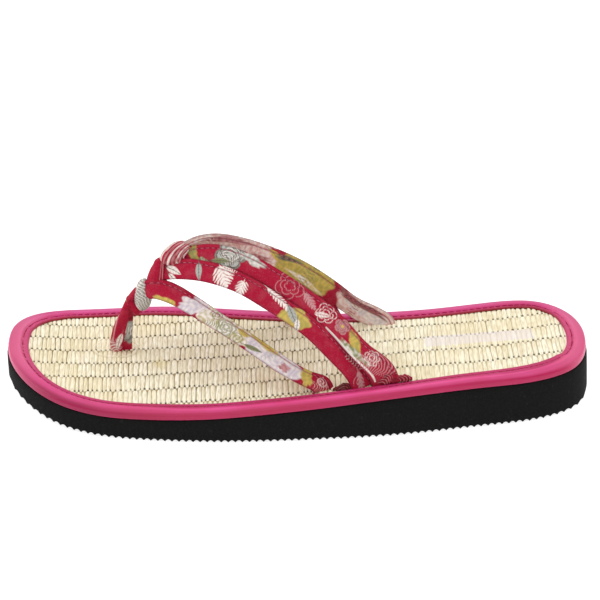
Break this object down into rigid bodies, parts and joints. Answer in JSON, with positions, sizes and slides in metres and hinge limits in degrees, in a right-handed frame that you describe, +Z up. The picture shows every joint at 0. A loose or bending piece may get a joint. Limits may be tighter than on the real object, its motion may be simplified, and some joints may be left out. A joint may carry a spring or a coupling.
{
  "type": "flip-flop",
  "caption": "Left thong sandal with a black foam wedge sole, a bound woven-straw footbed, and flat printed-fabric straps that fan out from a braid above the toe post.",
  "frame": {"origin": "middle of the shoe's box in plan, on the floor the sole stands on", "axes": "+Z up; -X towards the toe and +X towards the heel; +Y towards the inner side of the left foot, -Y towards its outer side"},
  "size_m": [0.2595, 0.0894, 0.0691],
  "materials": {
    "foam": "matt black foam",
    "binding_tape": "pink tape with a soft sheen",
    "straw_mat": "matt woven straw",
    "printed_fabric": "matt cotton with a floral print"
  },
  "bodies": {
    "root": {"outsole": "foam", "binding": "binding_tape", "insole": "straw_mat", "upper": "printed_fabric"}
  },
  "joints": []
}
